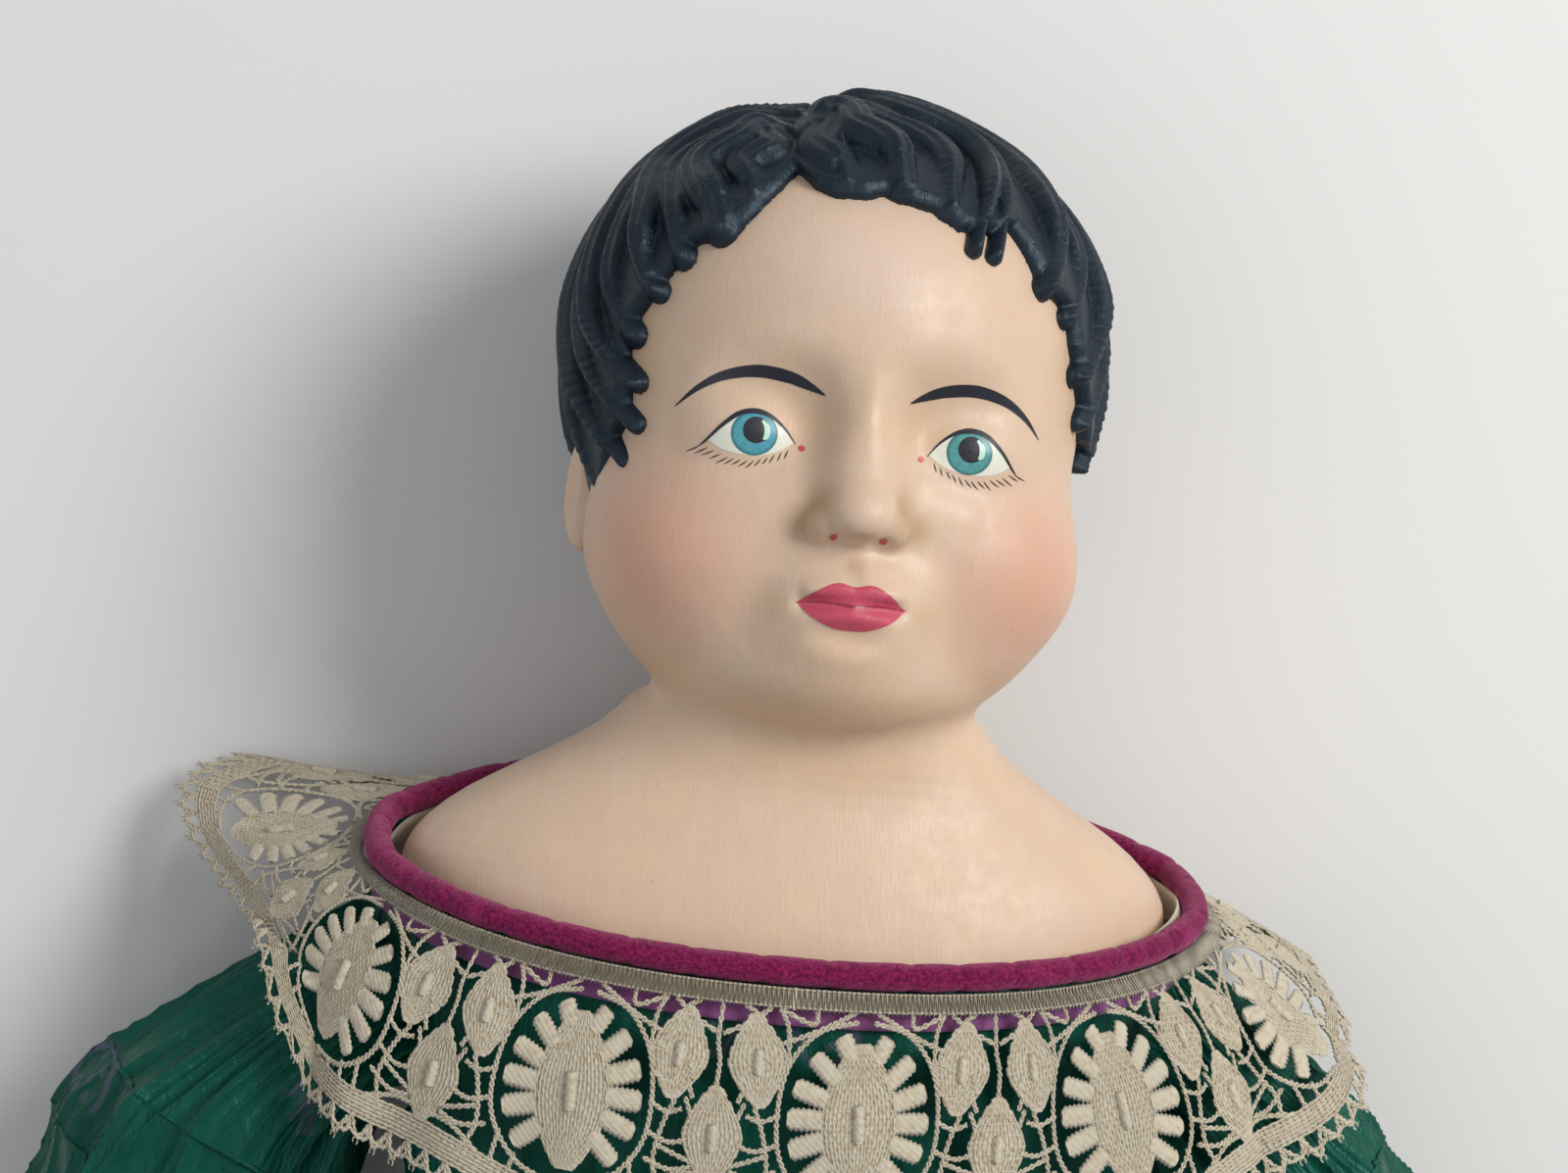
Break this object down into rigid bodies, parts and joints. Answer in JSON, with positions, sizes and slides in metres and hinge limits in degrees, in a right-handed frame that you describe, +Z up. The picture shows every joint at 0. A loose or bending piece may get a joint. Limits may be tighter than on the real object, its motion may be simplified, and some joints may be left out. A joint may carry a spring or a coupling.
{
  "type": "porcelain doll",
  "caption": "Lying shoulder-head doll with painted bisque head and limbs, a stuffed cloth body, a green silk gown and a bobbin-lace collar; arms and legs swing.",
  "frame": {"origin": "on the surface the doll lies on, under the middle of its bounding box, at waist height on its body", "axes": "+Y towards the crown of the head, +Z up and the way the face looks, +X towards the left hand of the doll"},
  "size_m": [0.3736, 0.66, 0.109],
  "materials": {
    "painted_bisque": "satin",
    "calico": "matte",
    "stuffing": "matte",
    "batiste": "matte",
    "white_cotton": "matte",
    "white_lace": "matte",
    "green_silk": "satin",
    "velvet": "matte",
    "lilac_facing": "satin",
    "bobbin_lace": "matte",
    "tape": "matte",
    "brass": "satin"
  },
  "bodies": {
    "torso": {"shoulder_head": "painted_bisque", "plate_tapes": "tape", "torso_cover": "calico", "torso_stuffing": "stuffing", "chemise": "batiste", "bodice": "green_silk", "neckline_piping": "velvet", "neckline_facing": "lilac_facing", "lace_collar": "bobbin_lace", "waistband": "green_silk", "back_hooks": "brass", "petticoat_waistband": "white_cotton", "drawers_waistband": "white_cotton", "drawers_seat": "white_cotton"},
    "skirts": {"skirt": "green_silk", "petticoat": "white_cotton", "petticoat_lace": "white_lace"},
    "left_arm": {"left_upper_arm_cover": "calico", "left_upper_arm_stuffing": "stuffing", "left_sleeve": "green_silk", "left_sleeve_band": "velvet", "left_sleeve_lace": "bobbin_lace"},
    "left_forearm": {"left_elbow_cloth": "calico", "left_forearm": "painted_bisque", "left_arm_tie": "tape"},
    "left_leg": {"left_thigh_cover": "calico", "left_thigh_stuffing": "stuffing", "left_drawers_leg": "white_cotton", "left_drawers_lace": "white_lace", "left_lower_leg": "painted_bisque", "left_leg_tie": "tape"},
    "right_arm": {"right_upper_arm_cover": "calico", "right_upper_arm_stuffing": "stuffing", "right_sleeve": "green_silk", "right_sleeve_band": "velvet", "right_sleeve_lace": "bobbin_lace"},
    "right_forearm": {"right_elbow_cloth": "calico", "right_forearm": "painted_bisque", "right_arm_tie": "tape"},
    "right_leg": {"right_thigh_cover": "calico", "right_thigh_stuffing": "stuffing", "right_drawers_leg": "white_cotton", "right_drawers_lace": "white_lace", "right_lower_leg": "painted_bisque", "right_leg_tie": "tape"}
  },
  "joints": [
    {"name": "left_shoulder", "type": "hinge", "parent": "torso", "child": "left_arm", "pos_m": [0.079, 0.158, 0.046], "axis": [-1, 0, 0], "range_deg": [0, 75], "deforming": ["lace_collar"]},
    {"name": "left_elbow", "type": "hinge", "parent": "left_arm", "child": "left_forearm", "pos_m": [0.12645, 0.05625, 0.0262], "axis": [-0.9063, -0.4226, 0], "range_deg": [0, 70], "deforming": ["left_sleeve_lace"]},
    {"name": "right_shoulder", "type": "hinge", "parent": "torso", "child": "right_arm", "pos_m": [-0.079, 0.158, 0.046], "axis": [-1, 0, 0], "range_deg": [0, 75], "deforming": ["lace_collar"]},
    {"name": "right_elbow", "type": "hinge", "parent": "right_arm", "child": "right_forearm", "pos_m": [-0.12645, 0.05625, 0.0262], "axis": [-0.9063, 0.4226, 0], "range_deg": [0, 70], "deforming": ["right_sleeve_lace"]},
    {"name": "hips", "type": "hinge", "parent": "torso", "child": "skirts", "pos_m": [0, -0.01, 0.042], "axis": [-1, 0, 0], "range_deg": [0, 85], "deforming": ["skirt", "petticoat", "petticoat_lace", "left_drawers_leg", "right_drawers_leg"]},
    {"name": "left_leg_swing", "type": "hinge", "parent": "skirts", "child": "left_leg", "pos_m": [0.033, -0.01, 0.042], "axis": [-1, 0, 0], "range_deg": [0, 8], "deforming": ["skirt", "petticoat", "petticoat_lace"]},
    {"name": "right_leg_swing", "type": "hinge", "parent": "skirts", "child": "right_leg", "pos_m": [-0.033, -0.01, 0.042], "axis": [-1, 0, 0], "range_deg": [0, 8], "deforming": ["skirt", "petticoat", "petticoat_lace"]}
  ]
}
